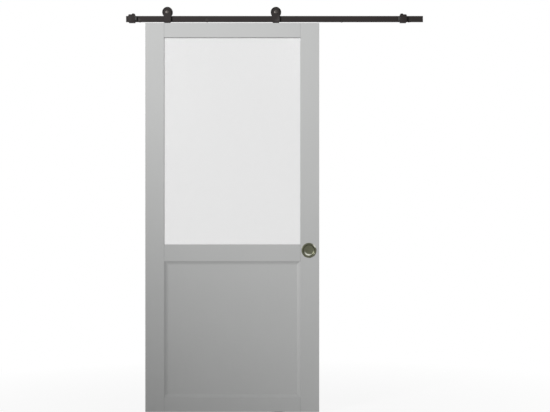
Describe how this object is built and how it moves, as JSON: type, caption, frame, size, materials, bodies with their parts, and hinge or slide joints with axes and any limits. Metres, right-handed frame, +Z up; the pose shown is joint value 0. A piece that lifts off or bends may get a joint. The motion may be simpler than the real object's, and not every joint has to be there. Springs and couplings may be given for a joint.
{
  "type": "sliding door",
  "caption": "Painted stile-and-rail door leaf, frosted glass above a recessed panel, hung on two grooved wheels from a flat bar track with end stops and a floor guide.",
  "frame": {"origin": "on the wall plane, on the axis of the middle wall screw, at the middle of the track bar's length", "axes": "+X along the track to the right as seen from the room, +Y into the wall, +Z up; the room is on the -Y side"},
  "size_m": [1.554, 0.106, 2.1545],
  "materials": {
    "painted_timber": "satin",
    "dowel_beech": "matte",
    "frosted_glass": "satin",
    "seal_rubber": "matte",
    "bumper_rubber": "matte",
    "track_steel": "satin",
    "screw_steel": "satin",
    "axle_steel": "satin",
    "bearing_steel": "polished",
    "cage_brass": "satin",
    "wheel_nylon": "matte",
    "pull_nickel": "polished"
  },
  "bodies": {
    "track": {"track_rail": "track_steel", "wall_standoff_1": "track_steel", "wall_standoff_2": "track_steel", "wall_standoff_3": "track_steel", "wall_standoff_4": "track_steel", "wall_standoff_5": "track_steel", "wall_screws": "screw_steel", "left_stop": "track_steel", "right_stop": "track_steel", "left_stop_bumper": "bumper_rubber", "right_stop_bumper": "bumper_rubber", "stop_screws": "screw_steel", "floor_guide": "track_steel", "floor_guide_screws": "screw_steel"},
    "door": {"left_stile": "painted_timber", "right_stile": "painted_timber", "top_rail": "painted_timber", "lock_rail": "painted_timber", "bottom_rail": "painted_timber", "frame_dowels": "dowel_beech", "glass_pane": "frosted_glass", "glass_seal": "seal_rubber", "left_glazing_bead": "painted_timber", "right_glazing_bead": "painted_timber", "top_glazing_bead": "painted_timber", "bottom_glazing_bead": "painted_timber", "lower_panel": "painted_timber", "front_left_panel_bead": "painted_timber", "front_right_panel_bead": "painted_timber", "front_top_panel_bead": "painted_timber", "front_bottom_panel_bead": "painted_timber", "rear_left_panel_bead": "painted_timber", "rear_right_panel_bead": "painted_timber", "rear_top_panel_bead": "painted_timber", "rear_bottom_panel_bead": "painted_timber", "front_cup_pull": "pull_nickel", "rear_cup_pull": "pull_nickel", "left_hanger_strap": "track_steel", "right_hanger_strap": "track_steel", "hanger_screws": "screw_steel", "left_axle_bolt": "axle_steel", "right_axle_bolt": "axle_steel", "left_axle_spacer": "axle_steel", "right_axle_spacer": "axle_steel", "axle_washers": "axle_steel", "axle_nuts": "axle_steel", "left_bearing_inner": "bearing_steel", "right_bearing_inner": "bearing_steel"},
    "left_wheel": {"left_wheel": "wheel_nylon", "left_bearing_outer": "bearing_steel", "left_bearing_balls": "bearing_steel", "left_bearing_cage": "cage_brass"},
    "right_wheel": {"right_wheel": "wheel_nylon", "right_bearing_outer": "bearing_steel", "right_bearing_balls": "bearing_steel", "right_bearing_cage": "cage_brass"}
  },
  "joints": [
    {"name": "door_slide", "type": "slide", "parent": "track", "child": "door", "axis": [1, 0, 0], "range_m": [-0.1396, 0.6192]},
    {"name": "left_wheel_spin", "type": "hinge", "parent": "door", "child": "left_wheel", "pos_m": [-0.56, -0.034, 0.0395], "axis": [0, 1, 0], "continuous": true},
    {"name": "right_wheel_spin", "type": "hinge", "parent": "door", "child": "right_wheel", "pos_m": [0.0076, -0.034, 0.0395], "axis": [0, 1, 0], "continuous": true}
  ],
  "couplings": [
    {"joint": "left_wheel_spin", "follows": "door_slide", "rad_per_m": 52.083},
    {"joint": "right_wheel_spin", "follows": "door_slide", "rad_per_m": 52.083}
  ]
}
